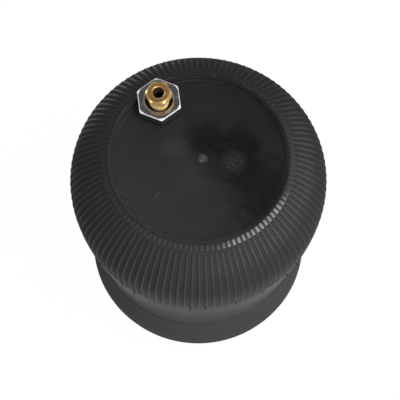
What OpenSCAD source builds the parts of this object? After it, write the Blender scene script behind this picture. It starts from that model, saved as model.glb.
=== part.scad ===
/* [Ride height] */
// Height of the flat of the bead plate over the floor at rest
ride_h = 251; // [240:1:262]
// Travel down from rest until the bumper stops the plate
jounce = 70; // [40:1:70]
// Air left between the bumper and the plate at full jounce
bumper_air = 0.4; // [0.3:0.1:2]

/* [Bead plate] */
// Outside diameter of the rolled rim
plate_d = 125; // [124:0.5:127]
// Thickness of the flat of the plate
plate_t = 2.6; // [2:0.1:3]
// Thickness of the sheet in the crimped skirt
skirt_t = 2; // [1.6:0.1:2.2]
// Height of the rolled rim over the flat
rim_h = 3; // [2:0.1:4]
// Width of the rolled rim seen from above
rim_w = 3.1; // [2.6:0.1:3.6]
// Height from the top of the rim to the underside of the crimped lip
skirt_h = 13.5; // [13:0.1:15]
// Inner radius of the crimped lip
lip_r = 57; // [56.5:0.1:57.5]
// Outer radius of the bend between skirt and lip
curl_r = 3.5; // [2.6:0.1:4]
// Fillet at the foot of the rolled rim
rim_foot_r = 1.2; // [0.6:0.1:1.6]

/* [Air stud] */
// Distance of the stud from the middle of the plate
stud_offset = 47.7; // [46:0.1:48]
// Direction of the stud, turned from the X axis
stud_angle = 125.3; // [0:0.1:360]
// Thread diameter of the hollow stud
stud_d = 19.05; // [16:0.05:20]
// Height of the top of the stud over the rim
stud_rise = 4; // [2:0.1:6]
// Radius of the welded collar at the foot of the stud
collar_r = 11; // [10.5:0.1:11.2]
// Thickness of the welded collar
collar_t = 1.6; // [1:0.1:2.4]
// Radius of the air passage through stud and plate
passage_r = 4.6; // [3:0.1:5]
// Depth of the fitting's thread in the stud
socket_depth = 3.4; // [3:0.1:4.4]

/* [Stud nut] */
// Width of the stud nut across its flats
nut_af = 28.6; // [27:0.1:30]
// Thickness of the stud nut
nut_t = 8.3; // [7:0.1:11]
// Air between the rim and the nut resting over it
nut_air = 0.3; // [0.1:0.1:1]
// Turn of the stud nut about its own axis
nut_turn = 38; // [0:1:60]
// Width of the chamfer round the faces of the stud nut
nut_chamfer = 1.1; // [0.5:0.1:1.6]

/* [Air fitting] */
// Width of the brass hexagon across its flats
fitting_af = 15.9; // [14:0.1:17]
// Thickness of the brass hexagon
fitting_hex_t = 6.4; // [5:0.1:8]
// Height of the top of the brass fitting over the stud nut
fitting_rise = 10.8; // [9:0.1:14]
// Radius of the threaded spigot below the hexagon
spigot_r = 6.8; // [6.2:0.1:7.2]
// Radius of the threaded air port in the fitting
port_r = 4.2; // [3:0.1:5]
// Length of the threaded air port
port_depth = 12; // [8:0.5:14]
// Turn of the brass hexagon about its own axis
fitting_turn = 57; // [0:1:60]
// Width of the chamfer round the top of the brass hexagon
fitting_chamfer = 0.8; // [0.4:0.1:1.2]

/* [Bellows] */
// Thickness of the rubber wall
wall = 5.5; // [4.5:0.1:6.5]
// Largest radius of the shoulder
shoulder_r = 91.9; // [90:0.1:94]
// Radius of the bend of the shoulder
shoulder_bend = 37.9; // [36:0.1:39]
// Depth of the widest ring of the shoulder below the rim
shoulder_drop = 42.3; // [40:0.1:44]
// Radius of the waist at the mould parting line
waist_r = 82; // [79:0.1:86]
// Depth of the waist below the rim
waist_drop = 152; // [140:1:160]
// Outer radius of the rolled lobe
lobe_r = 88; // [86:0.1:90]
// Depth of the middle of the rolled lobe below the rim
lobe_drop = 192; // [186:1:194]
// Radius of the ridge left by the mould at the waist
seam_r = 0.6; // [0.3:0.1:1]
// Number of ribs moulded round the shoulder
rib_count = 112; // [96:4:120]
// Height of the ribs over the rubber between them
rib_h = 0.9; // [0.6:0.1:1.2]
// Width of a rib
rib_w = 1; // [0.8:0.1:1.6]
// Depth below the rim at which the ribs end
rib_drop = 59; // [56:1:68]
// Depth of the rubber between the ribs where they end
rib_step = 0.4; // [0.2:0.1:0.5]
// How far the end of a rib stands out of the wall below it
rib_knob = 0.3; // [0.1:0.1:0.5]
// Turn of the ribs about the axis of the spring
rib_turn = 0.9; // [0:0.1:3.2]
// Radius to which the thick root of the shoulder reaches
root_r = 71; // [69:0.5:74]
// Inner radius of the upper bead
upper_bead_r = 53.8; // [53.4:0.1:54.2]
// Radius of the wire hoop in each bead
core_r = 1.6; // [1.2:0.1:1.7]
// Height of the lower bead
lower_bead_h = 7; // [6:0.1:8]
// Width of the lower bead
lower_bead_w = 7; // [6:0.1:8]

/* [Piston] */
// Outer radius of the straight wall of the piston
piston_r = 56.7; // [55:0.1:58]
// Height of the deck of the piston over the floor
deck_z = 138; // [132:1:142]
// Radius of the shoulder of the piston
piston_bend = 8; // [6:0.5:10]
// Thickness of the piston's wall at its foot
shell_t = 4.4; // [4:0.1:5]
// How much thicker the wall grows up to the webs, for the draft of the mould
draft = 1; // [0.6:0.1:1.6]
// Thickness of the piston's deck
deck_t = 6; // [5:0.1:8]
// Number of webs under the deck
web_count = 8; // [4:4:16]
// Thickness of each web
web_t = 3; // [2:0.1:4]
// Depth of the webs below the deck
web_h = 30; // [20:1:50]
// Radius of the hub under the deck
hub_r = 17; // [15:0.5:20]
// Height of the hub
hub_h = 22; // [18:1:30]

/* [Piston base] */
// Radius of the foot of the piston
foot_r = 60; // [58.5:0.5:62]
// Height of the straight edge of the foot
foot_edge = 4; // [2:0.5:6]
// Height of the base
base_h = 12; // [10:0.5:14]
// Thickness of the floor of the base
floor_t = 7; // [5:0.1:8]
// Inner radius of the bearing ring of the base
ring_in = 40; // [37:0.5:41]
// Depth of the relief in the underside
relief = 1.5; // [1:0.1:2]
// Width of the edge that the foot stands on
foot_land = 9; // [6:0.5:12]
// Radius of the pad in the middle of the underside
foot_pad_r = 14; // [10:0.5:16]
// Circle diameter of the threaded inserts
insert_pcd = 50.8; // [46:0.2:54]
// Number of threaded inserts
insert_count = 4; // [2:2:4]
// Outer radius of an insert
insert_r = 5.5; // [5:0.1:6]
// Radius of the threaded hole in an insert
insert_hole_r = 3.97; // [3:0.01:4.2]
// Length of an insert
insert_l = 16; // [12:1:18]
// Wall of plastic round an insert
insert_wall = 3; // [2:0.1:4]
// Distance from the inside of the piston's wall to the axis of a base screw
screw_inset = 6.3; // [5.4:0.1:6.4]
// Number of base screws
screw_count = 4; // [4:4:8]
// Radius of the thread of a base screw
screw_r = 2.5; // [2:0.1:3]
// Radius of the head of a base screw
screw_head_r = 4.6; // [4:0.1:5]
// Thickness of the head of a base screw
screw_head_t = 3; // [2:0.1:4]
// Length of a base screw
screw_l = 28; // [20:1:34]

/* [Clamp and bumper] */
// Thickness of the clamp plate
clamp_t = 4; // [3:0.1:5]
// Thickness of the clamp plate's flange over the bead
flange_t = 3; // [2.4:0.1:4]
// Radius of the clamp plate's flange
flange_r = 50; // [48:0.1:51]
// Thread diameter of the piston bolt
bolt_d = 12; // [10:0.5:12.5]
// Width of the bolt's head and nut across their flats
bolt_af = 19; // [17:0.1:20]
// Thickness of the bolt's head
bolt_head_t = 7.5; // [6:0.1:9]
// Thickness of the piston bolt's nut
bolt_nut_t = 10.5; // [8:0.1:12]
// Length of thread that stands out below the nut
bolt_out = 3.5; // [2:0.1:6]
// Thickness of the washers of the piston bolt
washer_t = 2.5; // [2:0.1:3]
// Radius of the washers of the piston bolt
washer_r = 13; // [12:0.1:14]
// Outer radius of the steel sleeve in the hub
sleeve_r = 8.6; // [8:0.1:9.5]
// Thickness of the O-ring under the clamp plate
o_ring_t = 2.8; // [2.4:0.1:3.2]
// Radius of the middle of the O-ring
o_ring_r = 13; // [12:0.1:14]
// Radius of the bumper at its foot
bumper_r = 33; // [28:0.5:34]
// Radius of the bumper at its top
bumper_top_r = 26; // [22:0.5:28]
// Thickness of rubber clamped under the bolt's washer
bumper_floor = 10; // [8:0.5:14]
// Height of the bumper's straight foot
bumper_foot = 8; // [5:0.5:10]
// Height of the bumper's cone over its foot
bumper_cone = 7; // [4:0.5:10]
// Chamfer round the bumper's top
bumper_chamfer = 3; // [1:0.5:4]

/* [Clearances] */
// Air between the rubber and what moves or clamps it
rubber_gap = 0.3; // [0.3:0.05:0.4]
// Air between the rubber and the crimped plate
crimp_gap = 0.1; // [0.1:0.05:0.2]
// Air round a bolt in its hole
bolt_gap = 0.25; // [0.2:0.05:0.4]

/* [Hidden] */
round_fn = 96;
// Colours as the photograph shows them
steel_dark = [0.2, 0.2, 0.21];
rubber = [0.16, 0.16, 0.17];
zinc = [0.72, 0.73, 0.75];
brass = [0.72, 0.53, 0.28];
plastic = [0.1, 0.1, 0.11];
urethane = [0.55, 0.47, 0.33];

// Heights and radii of the bead plate
plate_r = plate_d / 2;
rim_z = ride_h + rim_h;
plate_under = ride_h - plate_t;
lip_z = rim_z - skirt_h;
lip_top = lip_z + skirt_t;
skirt_in = plate_r - skirt_t;

// Places of the stud, its nut and the fitting
stud_x = stud_offset * cos(stud_angle);
stud_y = stud_offset * sin(stud_angle);
stud_top = rim_z + stud_rise;
nut_z = rim_z + nut_air;
nut_top = nut_z + nut_t;
fitting_top = nut_top + fitting_rise;
hex_z = fitting_top - fitting_hex_t;
spigot_z = stud_top - socket_depth;

// Bends and ends of the rubber
bend_x = shoulder_r - shoulder_bend;
bend_z = rim_z - shoulder_drop;
waist_z = rim_z - waist_drop;
lobe_z = rim_z - lobe_drop;
lobe_in = piston_r + rubber_gap;
lobe_bend = (lobe_r - lobe_in) / 2;
lobe_x = lobe_r - lobe_bend;
root_in = plate_r + crimp_gap;
turn_x = piston_r - piston_bend;
turn_z = deck_z - piston_bend;
upper_core_x = (upper_bead_r + skirt_in) / 2 - 0.1;
upper_core_z = (plate_under + lip_top) / 2;
lower_bead_in = turn_x - lower_bead_w;
lower_bead_top = deck_z + rubber_gap + lower_bead_h;
lower_core_x = lower_bead_in + lower_bead_w / 2;
lower_core_z = deck_z + rubber_gap + lower_bead_h / 2;
wall_steps = 10;
rib_z = rim_z - rib_drop;
land_bend = shoulder_bend - rib_h;
// How deep a rib is rooted, and how far outside the rim it starts
rib_root = rib_h / 2;
rib_x = root_in + rib_root;
rib_chords = 6;
// How far the straight stretches of rubber reach into the bends beside them
tongue = wall / 4;

// Heights of the clamp stack
clamp_top = deck_z + clamp_t;
riser_r = lower_bead_in - rubber_gap;
flange_z = lower_bead_top + rubber_gap;
bumper_top = plate_under - jounce - bumper_air;
washer_z = clamp_top + bumper_floor;
head_z = washer_z + washer_t;
hub_z = deck_z - hub_h;
under_washer_z = hub_z - washer_t;
bolt_nut_z = under_washer_z - bolt_nut_t;
bolt_end = bolt_nut_z - bolt_out;
bolt_hole_r = bolt_d / 2 + bolt_gap;
top_wall = shell_t + draft;
web_z = deck_z - deck_t - web_h;
counterbore_r = washer_r + 1;
screw_pcd = 2 * (piston_r - shell_t - screw_inset);
boss_r = screw_head_r + 2;

// Height of the outer arc of the shoulder over a radius
function shoulder_top(r, bend) = bend_z + sqrt(bend * bend - pow(r - bend_x, 2));
// Radius of the wall at a height, from the shoulder through the waist to the lobe
function ease(u) = (1 - cos(180 * u)) / 2;
function wall_r(z) = z > waist_z
    ? shoulder_r - (shoulder_r - waist_r) * ease((bend_z - z) / (bend_z - waist_z))
    : waist_r + (lobe_r - waist_r) * ease((waist_z - z) / (waist_z - lobe_z));
function wall_z(i) = i < wall_steps
    ? rib_z + (waist_z - rib_z) * i / wall_steps
    : waist_z + (lobe_z - waist_z) * (i - wall_steps) / wall_steps;

module ring_section(x, z, outer, inner) {
    translate([x, z]) difference() {
        circle(r = outer, $fn = round_fn);
        circle(r = inner, $fn = round_fn);
    }
}

module box_section(x0, z0, x1, z1) {
    translate([x0, z0]) square([x1 - x0, z1 - z0]);
}

module tube(r_out, r_in, z0, z1) {
    translate([0, 0, z0]) difference() {
        cylinder(r = r_out, h = z1 - z0, $fn = round_fn);
        translate([0, 0, -1]) cylinder(r = r_in, h = z1 - z0 + 2, $fn = round_fn);
    }
}

// A hexagon with its corners turned down to a chamfer at each face asked for
module hexagon(af, h, chamfer, lower) {
    corner = af / cos(30) / 2;
    flat = af / 2;
    intersection() {
        cylinder(r = corner, h = h, $fn = 6);
        rotate_extrude($fn = round_fn) polygon([
            [0, 0],
            [lower ? flat - 0.2 : corner + 1, 0],
            [corner + (lower ? 0.2 : 1), lower ? chamfer : 0.01],
            [corner + 0.2, h - chamfer],
            [flat - 0.2, h],
            [0, h]
        ]);
    }
}

module at_stud(z) {
    translate([stud_x, stud_y, z]) children();
}

module around(count, pcd, start) {
    for (i = [0 : count - 1]) rotate([0, 0, start + i * 360 / count]) translate([pcd / 2, 0, 0]) children();
}

// The upper bead plate, crimped round the bead of the bellows
module bead_plate() {
    color(steel_dark) difference() {
        rotate_extrude($fn = round_fn) {
            box_section(0, plate_under, plate_r - rim_w / 2, ride_h);
            box_section(plate_r - rim_w, plate_under, plate_r, rim_z - rim_w / 2);
            translate([plate_r - rim_w / 2, rim_z - rim_w / 2]) circle(r = rim_w / 2, $fn = round_fn);
            difference() {
                box_section(plate_r - rim_w - rim_foot_r, ride_h - 0.1, plate_r - rim_w + 0.1, ride_h + rim_foot_r);
                translate([plate_r - rim_w - rim_foot_r, ride_h + rim_foot_r]) circle(r = rim_foot_r, $fn = round_fn);
            }
            box_section(skirt_in, lip_z + curl_r, plate_r, plate_under + 0.1);
            box_section(lip_r, lip_z, plate_r - curl_r, lip_top);
            intersection() {
                ring_section(plate_r - curl_r, lip_z + curl_r, curl_r, curl_r - skirt_t);
                box_section(plate_r - curl_r, lip_z, plate_r, lip_z + curl_r);
            }
        }
        at_stud(plate_under - 1) cylinder(r = passage_r, h = plate_t + 2, $fn = round_fn);
    }
}

// The hollow threaded stud on the plate, which also carries the air
module combo_stud() {
    color(steel_dark) at_stud(ride_h) difference() {
        union() {
            cylinder(r = collar_r, h = collar_t, $fn = round_fn);
            cylinder(r = stud_d / 2, h = stud_top - ride_h, $fn = round_fn);
        }
        translate([0, 0, -1]) cylinder(r = passage_r, h = stud_top - ride_h + 2, $fn = round_fn);
        translate([0, 0, spigot_z - ride_h]) cylinder(r = spigot_r, h = socket_depth + 1, $fn = round_fn);
    }
}

module combo_stud_nut() {
    color(zinc) at_stud(nut_z) difference() {
        rotate([0, 0, nut_turn]) hexagon(nut_af, nut_t, nut_chamfer, true);
        translate([0, 0, -1]) cylinder(r = stud_d / 2, h = nut_t + 2, $fn = round_fn);
    }
}

// The brass reducing fitting in the stud
module air_fitting() {
    color(brass) at_stud(0) difference() {
        union() {
            translate([0, 0, hex_z]) rotate([0, 0, fitting_turn])
                hexagon(fitting_af, fitting_hex_t, fitting_chamfer, false);
            translate([0, 0, spigot_z]) cylinder(r = spigot_r, h = hex_z - spigot_z + 0.5, $fn = round_fn);
        }
        translate([0, 0, fitting_top - port_depth]) cylinder(r = port_r, h = port_depth + 1, $fn = round_fn);
        translate([0, 0, spigot_z - 1]) cylinder(r = port_r - 1, h = fitting_top - spigot_z, $fn = round_fn);
    }
}

module upper_bead_core() {
    color(zinc) rotate_extrude($fn = round_fn) translate([upper_core_x, upper_core_z]) circle(r = core_r, $fn = round_fn);
}

// The thick rubber in the crimp, under the lip and up round the skirt
module root_section() {
    polygon([
        [upper_bead_r, lip_z - wall / 2],
        [lip_r, lip_z - wall],
        [root_r, shoulder_top(root_r, shoulder_bend - wall)],
        [root_r, shoulder_top(root_r, land_bend) - wall / 2],
        [root_in, shoulder_top(root_in, land_bend)],
        [root_in, lip_z - crimp_gap],
        [lip_r - crimp_gap, lip_z - crimp_gap],
        [lip_r - crimp_gap, lip_top + crimp_gap],
        [plate_r - curl_r, lip_top + crimp_gap],
        [skirt_in - crimp_gap, lip_z + curl_r],
        [skirt_in - crimp_gap, plate_under - crimp_gap],
        [upper_bead_r, plate_under - crimp_gap]
    ]);
}

module bellows_section() {
    difference() {
        union() {
            root_section();
            intersection() {
                ring_section(bend_x, bend_z, land_bend, shoulder_bend - wall);
                box_section(root_in, bend_z, shoulder_r + 1, rim_z);
            }
            polygon(concat(
                [[shoulder_r - wall + tongue, bend_z + tongue], [shoulder_r - wall, bend_z]],
                [for (i = [0 : 2 * wall_steps]) [wall_r(wall_z(i)) - wall, wall_z(i)]],
                [[lobe_r - wall + tongue, lobe_z - tongue], [lobe_r - tongue, lobe_z - tongue]],
                [for (i = [2 * wall_steps : -1 : 0]) [wall_r(wall_z(i)), wall_z(i)]],
                [
                    [wall_r(rib_z) - rib_step, rib_z + rib_step],
                    [shoulder_r - rib_h, bend_z],
                    [shoulder_r - rib_h - tongue, bend_z + tongue]
                ]
            ));
            translate([waist_r, waist_z]) circle(r = seam_r, $fn = round_fn);
            intersection() {
                ring_section(lobe_x, lobe_z, lobe_bend, lobe_bend - wall);
                box_section(lobe_in - 1, lobe_z - lobe_bend - 1, lobe_r + 1, lobe_z);
            }
            polygon([
                [lobe_in, lobe_z],
                [lobe_in + tongue, lobe_z - tongue],
                [lobe_in + wall - tongue, lobe_z - tongue],
                [lobe_in + wall, lobe_z],
                [lobe_in + wall, turn_z],
                [lobe_in + wall - tongue, turn_z + tongue],
                [lobe_in + tongue, turn_z + tongue],
                [lobe_in, turn_z]
            ]);
            intersection() {
                ring_section(turn_x, turn_z, piston_bend + rubber_gap + wall, piston_bend + rubber_gap);
                box_section(turn_x, turn_z, lobe_in + wall + 1, turn_z + piston_bend + rubber_gap + wall);
            }
            box_section(lower_bead_in, deck_z + rubber_gap, turn_x + tongue, lower_bead_top);
        }
        translate([upper_core_x, upper_core_z]) circle(r = core_r + rubber_gap, $fn = round_fn);
        translate([lower_core_x, lower_core_z]) circle(r = core_r + rubber_gap, $fn = round_fn);
    }
}

// One rib from the side: over the shoulder and down the wall, with its root in the rubber
module rib_side() {
    inner = land_bend - rib_root;
    start = acos((rib_x - bend_x) / inner);
    end_r = wall_r(rib_z);
    intersection() {
        translate([bend_x, bend_z]) circle(r = shoulder_bend, $fn = round_fn);
        polygon(concat(
            [[shoulder_r + 1, bend_z], [shoulder_r + 1, rim_z], [rib_x, rim_z]],
            [for (i = [rib_chords : -1 : 0]) let (turn = start * i / rib_chords)
                [bend_x + inner * cos(turn), bend_z + inner * sin(turn)]]
        ));
    }
    polygon([
        [shoulder_r - rib_h - rib_root, bend_z + rib_root],
        [end_r - rib_h - rib_root, rib_z - rib_h],
        [end_r + rib_knob, rib_z],
        [shoulder_r, bend_z],
        [shoulder_r - rib_root, bend_z + rib_root]
    ]);
}

// The rubber flexible member, from the crimp over the shoulder to the rolled lobe and the piston
module bellows() {
    color(rubber) {
        rotate_extrude($fn = round_fn) bellows_section();
        for (i = [0 : rib_count - 1]) rotate([0, 0, rib_turn + i * 360 / rib_count])
            translate([0, rib_w / 2, 0]) rotate([90, 0, 0]) linear_extrude(rib_w) rib_side();
    }
}

module lower_bead_core() {
    color(zinc) rotate_extrude($fn = round_fn) translate([lower_core_x, lower_core_z]) circle(r = core_r, $fn = round_fn);
}

// The dished plate that clamps the lower bead to the deck
module clamp_plate() {
    color(steel_dark) rotate_extrude($fn = round_fn) {
        box_section(bolt_hole_r, deck_z, riser_r, clamp_top);
        box_section(riser_r - flange_t, deck_z, riser_r, flange_z + flange_t);
        box_section(riser_r - flange_t, flange_z, flange_r, flange_z + flange_t);
    }
}

module clamp_o_ring() {
    color(rubber) rotate_extrude($fn = round_fn)
        translate([o_ring_r, deck_z - o_ring_t / 2]) circle(r = o_ring_t / 2, $fn = round_fn);
}

// The stop that meets the plate at full jounce
module bumper() {
    color(urethane) rotate_extrude($fn = round_fn) polygon([
        [bolt_hole_r, clamp_top],
        [bumper_r, clamp_top],
        [bumper_r, clamp_top + bumper_foot],
        [bumper_top_r, clamp_top + bumper_foot + bumper_cone],
        [bumper_top_r, bumper_top - bumper_chamfer],
        [bumper_top_r - bumper_chamfer, bumper_top],
        [counterbore_r, bumper_top],
        [counterbore_r, washer_z],
        [bolt_hole_r, washer_z]
    ]);
}

module bumper_washer() {
    color(zinc) tube(washer_r, bolt_hole_r, washer_z, head_z);
}

module piston_bolt() {
    color(zinc) {
        translate([0, 0, bolt_end]) cylinder(r = bolt_d / 2, h = head_z - bolt_end + 0.5, $fn = round_fn);
        translate([0, 0, head_z]) hexagon(bolt_af, bolt_head_t, 1, false);
    }
}

module piston_bolt_washer() {
    color(zinc) tube(washer_r, bolt_hole_r, under_washer_z, hub_z);
}

module piston_bolt_nut() {
    color(zinc) difference() {
        translate([0, 0, bolt_nut_z]) hexagon(bolt_af, bolt_nut_t, 1, true);
        translate([0, 0, bolt_nut_z - 1]) cylinder(r = bolt_d / 2, h = bolt_nut_t + 2, $fn = round_fn);
    }
}

module hub_sleeve() {
    color(zinc) tube(sleeve_r, bolt_hole_r, hub_z, deck_z);
}

// The moulded piston, with webs and screw posts inside
module piston_shell() {
    color(plastic) difference() {
        union() {
            rotate_extrude($fn = round_fn) {
                box_section(sleeve_r, deck_z - deck_t, piston_r - piston_bend, deck_z);
                box_section(sleeve_r, hub_z, hub_r, deck_z);
                polygon([
                    [piston_r - shell_t, base_h],
                    [piston_r, base_h],
                    [piston_r, turn_z],
                    [piston_r - top_wall, turn_z],
                    [piston_r - top_wall, web_z]
                ]);
                intersection() {
                    ring_section(turn_x, turn_z, piston_bend, piston_bend - top_wall);
                    box_section(turn_x, turn_z, piston_r, deck_z);
                }
            }
            for (i = [0 : web_count - 1]) rotate([0, 0, (i + 0.5) * 360 / web_count])
                translate([hub_r - 1, -web_t / 2, web_z])
                    cube([piston_r - top_wall / 2 - hub_r + 1, web_t, web_h + 1]);
            around(screw_count, screw_pcd, 45) translate([0, 0, base_h])
                cylinder(r = boss_r, h = screw_l + 4, $fn = round_fn);
        }
        around(screw_count, screw_pcd, 45) translate([0, 0, base_h - 1])
            cylinder(r = screw_r, h = screw_l + 1, $fn = round_fn);
        rotate_extrude($fn = round_fn)
            box_section(o_ring_r - o_ring_t / 2 - 0.2, deck_z - o_ring_t, o_ring_r + o_ring_t / 2 + 0.2, deck_z + 1);
    }
}

// The foot of the piston, with its bearing ring and the posts of the inserts
module piston_base() {
    insert_post = insert_r + insert_wall;
    color(plastic) difference() {
        union() {
            rotate_extrude($fn = round_fn) polygon([
                [0, 0],
                [foot_r, 0],
                [foot_r, foot_edge],
                [piston_r, base_h],
                [ring_in, base_h],
                [ring_in, floor_t],
                [0, floor_t]
            ]);
            around(insert_count, insert_pcd, 0) cylinder(r = insert_post, h = insert_l + 3, $fn = round_fn);
        }
        difference() {
            tube(foot_r - foot_land, foot_pad_r, -1, relief);
            around(insert_count, insert_pcd, 0) translate([0, 0, -2]) cylinder(r = insert_post, h = 6, $fn = round_fn);
        }
        around(insert_count, insert_pcd, 0) translate([0, 0, -1]) cylinder(r = insert_r, h = insert_l + 1, $fn = round_fn);
        around(screw_count, screw_pcd, 45) {
            translate([0, 0, -1]) cylinder(r = screw_r + bolt_gap, h = base_h + 2, $fn = round_fn);
            translate([0, 0, -1]) cylinder(r = screw_head_r + bolt_gap, h = relief + screw_head_t + 2, $fn = round_fn);
        }
    }
}

module base_screws() {
    color(zinc) around(screw_count, screw_pcd, 45) {
        translate([0, 0, relief + 1]) cylinder(r = screw_head_r, h = screw_head_t, $fn = round_fn);
        translate([0, 0, relief + 1]) cylinder(r = screw_r, h = screw_l, $fn = round_fn);
    }
}

module base_inserts() {
    color(brass) around(insert_count, insert_pcd, 0) tube(insert_r, insert_hole_r, 0, insert_l);
}

bead_plate();
combo_stud();
combo_stud_nut();
air_fitting();
upper_bead_core();
bellows();
lower_bead_core();
clamp_plate();
clamp_o_ring();
bumper();
bumper_washer();
piston_bolt();
piston_bolt_washer();
piston_bolt_nut();
hub_sleeve();
piston_shell();
piston_base();
base_screws();
base_inserts();
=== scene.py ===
import math
import random

import bmesh
import bpy
from mathutils import Matrix, Vector


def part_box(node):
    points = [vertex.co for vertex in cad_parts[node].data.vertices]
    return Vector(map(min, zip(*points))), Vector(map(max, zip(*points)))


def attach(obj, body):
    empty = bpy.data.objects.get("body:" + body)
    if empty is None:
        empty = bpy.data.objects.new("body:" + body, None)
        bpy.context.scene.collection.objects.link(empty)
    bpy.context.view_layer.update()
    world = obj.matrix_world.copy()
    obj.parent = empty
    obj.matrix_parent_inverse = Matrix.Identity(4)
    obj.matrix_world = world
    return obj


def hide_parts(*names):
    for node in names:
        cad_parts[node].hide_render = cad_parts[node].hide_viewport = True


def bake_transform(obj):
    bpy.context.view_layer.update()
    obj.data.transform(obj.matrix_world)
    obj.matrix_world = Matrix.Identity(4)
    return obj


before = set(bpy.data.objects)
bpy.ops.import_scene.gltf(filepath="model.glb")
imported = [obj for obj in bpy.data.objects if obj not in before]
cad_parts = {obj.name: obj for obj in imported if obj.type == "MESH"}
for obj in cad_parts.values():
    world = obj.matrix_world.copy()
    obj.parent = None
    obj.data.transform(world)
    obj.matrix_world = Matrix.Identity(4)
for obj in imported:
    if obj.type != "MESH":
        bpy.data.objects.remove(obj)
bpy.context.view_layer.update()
mm = 0.001

# Places that the frame gives
plateLow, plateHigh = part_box("bead_plate")
rimZ, plateR = plateHigh.z, plateHigh.x
lipZ = plateLow.z
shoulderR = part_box("bellows")[1].x
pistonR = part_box("piston_shell")[1].x
nutLow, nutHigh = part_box("combo_stud_nut")
studLow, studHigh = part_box("combo_stud")
fittingLow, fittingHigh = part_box("air_fitting")
studX, studY = (studLow.x + studHigh.x) / 2, (studLow.y + studHigh.y) / 2

# Camera
photoCamera = {
    "elevation": 70.63,              # degrees over the horizon
    "distance": 754.8 * mm,
    "aim": (1.25 * mm, -31.4 * mm),  # the point of the rim's plane in the middle of the picture
    "lens": 100.9,
    "sensor": 36,
    "roll": 0.45,                    # degrees
}


def makeCamera():
    tilt = math.radians(photoCamera["elevation"])
    back = Vector((0, -math.cos(tilt), math.sin(tilt)))
    aim = Vector((*photoCamera["aim"], rimZ))
    data = bpy.data.cameras.new("camera")
    data.lens = photoCamera["lens"]
    data.sensor_width = photoCamera["sensor"]
    cam = bpy.data.objects.new("camera", data)
    bpy.context.scene.collection.objects.link(cam)
    cam.location = aim + back * photoCamera["distance"]
    turn = (-back).to_track_quat("-Z", "Y").to_matrix().to_4x4()
    roll = Matrix.Rotation(math.radians(photoCamera["roll"]), 4, "Z")
    cam.rotation_euler = (turn @ roll).to_euler()
    bpy.context.scene.camera = cam


makeCamera()
print("camera placed")


# Shader maths
class Wire:
    # a socket or a number in a material's node tree, with the usual operators
    def __init__(self, tree, socket):
        self.tree = tree
        self.socket = socket

    def calc(self, operation, *others):
        node = self.tree.nodes.new("ShaderNodeMath")
        node.operation = operation
        for slot, value in zip(node.inputs, (self, *others)):
            join(self.tree, slot, value)
        return Wire(self.tree, node.outputs[0])

    def __add__(self, other):
        return self.calc("ADD", other)

    def __sub__(self, other):
        return self.calc("SUBTRACT", other)

    def __mul__(self, other):
        return self.calc("MULTIPLY", other)

    def __truediv__(self, other):
        return self.calc("DIVIDE", other)

    def __pow__(self, other):
        return self.calc("POWER", other)

    def __radd__(self, other):
        return self.calc("ADD", other)

    def __rmul__(self, other):
        return self.calc("MULTIPLY", other)

    def __rsub__(self, other):
        return Wire(self.tree, other).calc("SUBTRACT", self)

    def __rtruediv__(self, other):
        return Wire(self.tree, other).calc("DIVIDE", self)

    def clamp(self):
        return self.calc("MAXIMUM", 0).calc("MINIMUM", 1)

    def step(self, low, high):
        # 0 below low, 1 above high, eased between
        share = ((self - low) / (high - low)).clamp()
        return share * share * (3 - 2 * share)


def join(tree, slot, value):
    if isinstance(value, Wire):
        value = value.socket
    if isinstance(value, bpy.types.NodeSocket):
        tree.links.new(value, slot)
    elif isinstance(value, (tuple, list)) and len(value) == 3 and slot.type == "RGBA":
        slot.default_value = (*value, 1)
    else:
        slot.default_value = value


class Finish:
    # a material with a Principled shader
    def __init__(self, name):
        self.material = bpy.data.materials.new(name)
        self.material.use_nodes = True
        self.tree = self.material.node_tree
        self.shader = self.tree.nodes["Principled BSDF"]

    def node(self, kind, settings=None, output=0, **values):
        # values go to sockets by name, or by number where the name is i0, i1 and so on
        made = self.tree.nodes.new(kind)
        for key, value in (settings or {}).items():
            setattr(made, key, value)
        for key, value in values.items():
            place = int(key[1:]) if key[1:].isdigit() else key
            join(self.tree, made.inputs[place], value)
        return Wire(self.tree, made.outputs[output])

    def coords(self):
        return self.node("ShaderNodeTexCoord", output="Object")

    def attribute(self, name, output="Fac"):
        return self.node("ShaderNodeAttribute", {"attribute_name": name}, output)

    def xyz(self, vector):
        parts = self.node("ShaderNodeSeparateXYZ", Vector=vector)
        return [Wire(self.tree, s) for s in parts.socket.node.outputs]

    def stretch(self, vector, scale):
        return self.node("ShaderNodeVectorMath", {"operation": "MULTIPLY"}, i0=vector, i1=scale)

    def noise(self, vector, scale, detail=3, roughness=0.5, distortion=0):
        return self.node("ShaderNodeTexNoise", Vector=vector, Scale=scale, Detail=detail,
                         Roughness=roughness, Distortion=distortion)

    def spots(self, vector, scale, noise, cut):
        # noise cut into patches with soft edges
        return self.noise(self.stretch(vector, scale), *noise).step(*cut)

    def blend(self, share, low, high):
        return self.node("ShaderNodeMix", {"data_type": "RGBA"}, 2, i0=share, i6=low, i7=high)

    def paint(self, colour, look, marks):
        # each mark lays one of the look's colours over what is there, by its share
        for share, name in marks:
            colour = self.blend(share, colour, look[name])
        return colour

    def bump(self, height, distance, strength):
        return self.node("ShaderNodeBump", Height=height, Distance=distance, Strength=strength)

    def set(self, **values):
        for key, value in values.items():
            join(self.tree, self.shader.inputs[key.replace("_", " ")], value)
        return self.material


# Mesh helpers
def arc(x, z, radius, start, end, steps):
    # from one angle to the other, in degrees
    turns = [math.radians(start + (end - start) * i / steps) for i in range(steps + 1)]
    return [(x + radius * math.cos(a), z + radius * math.sin(a)) for a in turns]


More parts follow.
